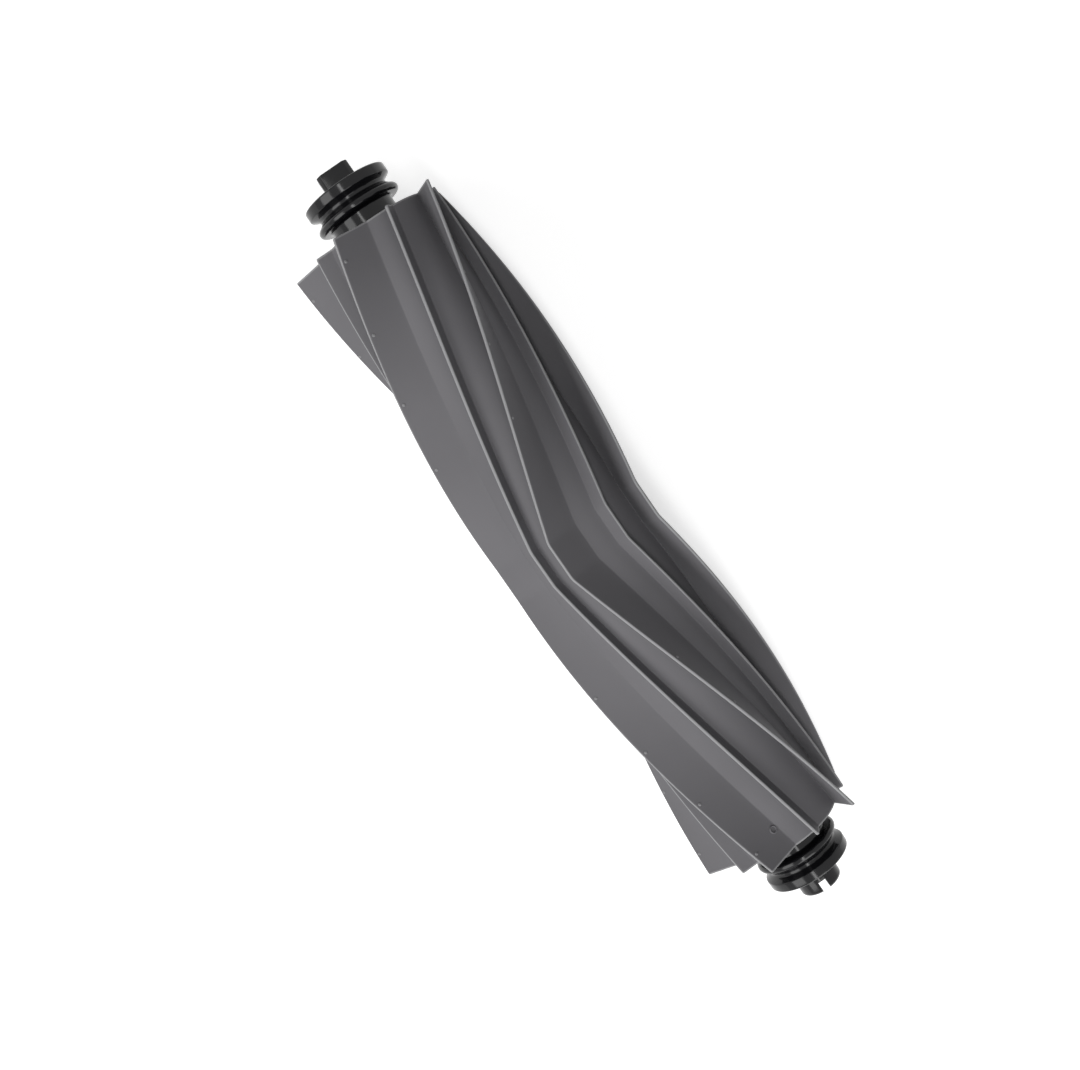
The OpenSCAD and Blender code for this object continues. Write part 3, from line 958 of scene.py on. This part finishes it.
class ROLLER_OT_cap(bpy.types.Operator):
    """Models the slotted cap that holds the bearing's pin"""

    bl_idname = "roller.cap"
    bl_label = "Bearing cap"

    def execute(self, context):
        s = context.scene.roller_cap
        bm = bmesh.new()
        spool_l = spool_length(context.scene.roller_spool)
        face_x = spool_l + s.gap
        end_x = face_x + s.length
        in_x = spool_l - s.spigot_l
        lathe(bm, [
            (s.pin_l + in_x, 0), (s.pin_l + in_x, s.pin_r), (in_x, s.pin_r), (in_x, s.spigot_r),
            (face_x, s.spigot_r),
            *arc(face_x + s.back_round, s.radius - s.back_round, s.back_round, 180, 90),
            *arc(end_x - s.tab_round, s.radius - s.tab_round, s.tab_round, 90, 0), (end_x, 0)])
        slot = ((end_x - s.slot_depth, -s.slot_w / 2, -2 * s.radius),
                (2 * s.slot_depth, s.slot_w, 4 * s.radius), 0)
        bm = cut_away(bm, [slot])
        slack, corner = 0.01 * MM, math.radians(40)
        mouth = [
            edge for edge in bm.edges
            if min(vert.co.x for vert in edge.verts) > end_x - s.slot_depth - slack
            and max(abs(vert.co.y) for vert in edge.verts) < s.slot_w / 2 + slack
            and edge.calc_face_angle(0) > corner]
        bmesh.ops.bevel(
            bm, geom=mouth, offset=s.slot_round, offset_type="OFFSET", segments=3, profile=0.5,
            affect="EDGES", material=-1, clamp_overlap=True)
        bmesh.ops.remove_doubles(bm, verts=bm.verts, dist=5 * SAME_PLACE)
        place_on_roller(bm, s.slot_turn)
        piece = finish_mesh(bm, "slotted_cap", plastic_material(context.scene.roller_finishes))
        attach(piece, "cap")
        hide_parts("bearing_cap")
        return {"FINISHED"}


class ROLLER_OT_inside(bpy.types.Operator):
    """Gives the core tube, the bearing and the felt washer their finishes"""

    bl_idname = "roller.inside"
    bl_label = "Tube and bearing"

    def execute(self, context):
        finishes = context.scene.roller_finishes
        tube = toned_material(
            "tube_plastic", finishes.tube, roughness=0.5, spread=0.06, variation=0.15)[0]
        steel = toned_material(
            "turned_steel", finishes.steel, roughness=0.28, spread=0.08, variation=0.08,
            cloud_scale=400.0, grain_scale=6000.0, grain_strength=0.15, metallic=1.0)[0]
        balls = toned_material(
            "ball_steel", finishes.steel, roughness=0.1, spread=0.03, variation=0.04,
            cloud_scale=900.0, grain_strength=0.02, metallic=1.0)[0]
        cage = toned_material(
            "cage_brass", finishes.cage, roughness=0.35, spread=0.06, variation=0.1,
            cloud_scale=500.0, metallic=1.0)[0]
        felt, _, shader, _ = toned_material(
            "pressed_felt", finishes.felt, roughness=0.95, spread=0.03, variation=0.35,
            cloud_scale=2500.0, grain_scale=9000.0, grain_strength=1.0, specular=0.2)
        shader.inputs["Sheen Weight"].default_value = 0.3
        set_finish(tube, "core_tube")
        set_finish(
            steel, "bearing_outer_ring", "bearing_inner_ring", "inner_shield", "outer_shield",
            "axle_pin", "pin_spacer", "retaining_clip")
        set_finish(balls, "bearing_balls")
        set_finish(cage, "bearing_cage")
        set_finish(felt, "felt_washer")
        return {"FINISHED"}


def rays_that_see(tree):
    """How far a ray is one that the viewer, a mirror or glass sees by"""
    path = tree.nodes.new("ShaderNodeLightPath")
    seen = math_node(
        tree, "MAXIMUM", path.outputs["Is Camera Ray"], path.outputs["Is Glossy Ray"])
    return math_node(tree, "MAXIMUM", seen, path.outputs["Is Transmission Ray"])


def add_lamp(name, place, size, level):
    """A soft lamp along X, aimed at the roller. A white face turned to it gains its level"""
    lamp = bpy.data.lights.new(name, "AREA")
    lamp.shape, (lamp.size, lamp.size_y) = "RECTANGLE", size
    beside = abs(place.x) > lamp.size / 2
    aim = Vector((-place.x if beside else 0, -place.y, -place.z))
    lamp.energy = level * math.pi ** 2 * aim.length_squared
    holder = bpy.data.objects.new(name, lamp)
    holder.location = place
    holder.rotation_euler = aim.to_track_quat("-Z", "Y").to_euler()
    bpy.context.scene.collection.objects.link(holder)


class ROLLER_OT_stage(bpy.types.Operator):
    """Sets up the camera, the lamps and the pale floor"""

    bl_idname = "roller.stage"
    bl_label = "Studio"

    def execute(self, context):
        scene, s = context.scene, context.scene.roller_studio
        scene.view_settings.view_transform = "Standard"
        camera = bpy.data.cameras.new("camera")
        camera.lens = s.lens
        camera.clip_start = 0.01
        holder = bpy.data.objects.new("camera", camera)
        holder.location, holder.rotation_euler = s.camera_place, Euler(s.camera_turn)
        scene.collection.objects.link(holder)
        scene.camera = holder

        bm = bmesh.new()
        bmesh.ops.create_circle(
            bm, cap_ends=True, segments=96, radius=s.floor_r,
            matrix=Matrix.Translation((0, 0, cad_low.z)))
        material, tree, shader, _ = new_material("pale_floor")
        shader.inputs["Base Color"].default_value = (*s.floor_colour, 1.0)
        shader.inputs["Roughness"].default_value = 0.9
        shader.inputs["Specular IOR Level"].default_value = 0.0
        shader.inputs["Emission Color"].default_value = (1.0, 1.0, 1.0, 1.0)
        glow = math_node(tree, "MULTIPLY", rays_that_see(tree), s.floor_glow)
        tree.links.new(glow, shader.inputs["Emission Strength"])
        floor = finish_mesh(bm, "floor", material)

        world = bpy.data.worlds.new("studio")
        world.use_nodes = True
        scene.world = world
        tree = world.node_tree
        background = tree.nodes["Background"]
        background.inputs["Color"].default_value = (1.0, 1.0, 1.0, 1.0)
        seen = rays_that_see(tree)
        level = math_node(tree, "MAXIMUM", seen, s.sky_level)
        tree.links.new(level, background.inputs["Strength"])

        add_lamp("key", Vector(s.key_place), s.key_size, s.key_level)
        add_lamp("fill", Vector(s.fill_place), s.fill_size, s.fill_level)
        add_lamp("strip", Vector(s.strip_place), s.strip_size, s.strip_level)
        return {"FINISHED"}


class ROLLER_PT_panel(bpy.types.Panel):
    """Lists the roller's pieces and their sizes"""

    bl_idname = "ROLLER_PT_panel"
    bl_label = "Roller"
    bl_space_type = "VIEW_3D"
    bl_region_type = "UI"
    bl_category = "Roller"

    def draw(self, context):
        for operator in OPERATORS:
            self.layout.operator(operator.bl_idname)
        for name in GROUPS:
            box = self.layout.box()
            group = getattr(context.scene, name)
            for prop in group.bl_rna.properties:
                if prop.identifier not in ("rna_type", "name"):
                    box.prop(group, prop.identifier)


GROUPS = {
    "roller_sleeve": SleeveSizes,
    "roller_spool": SpoolSizes,
    "roller_boss": BossSizes,
    "roller_cap": CapSizes,
    "roller_finishes": Finishes,
    "roller_studio": Studio,
}
OPERATORS = (
    ROLLER_OT_stage,
    ROLLER_OT_sleeve,
    ROLLER_OT_drive_spool,
    ROLLER_OT_bearing_spool,
    ROLLER_OT_cap,
    ROLLER_OT_inside,
)


def register():
    for item in (*GROUPS.values(), *OPERATORS, ROLLER_PT_panel):
        bpy.utils.register_class(item)
    for name, group in GROUPS.items():
        setattr(bpy.types.Scene, name, PointerProperty(type=group))


def unregister():
    for name in GROUPS:
        delattr(bpy.types.Scene, name)
    for item in (ROLLER_PT_panel, *reversed(OPERATORS), *reversed(GROUPS.values())):
        bpy.utils.unregister_class(item)


def main():
    register()
    bpy.ops.roller.stage()
    bpy.ops.roller.sleeve()
    bpy.ops.roller.drive_spool()
    bpy.ops.roller.bearing_spool()
    bpy.ops.roller.cap()
    bpy.ops.roller.inside()


if __name__ == "__main__":
    main()
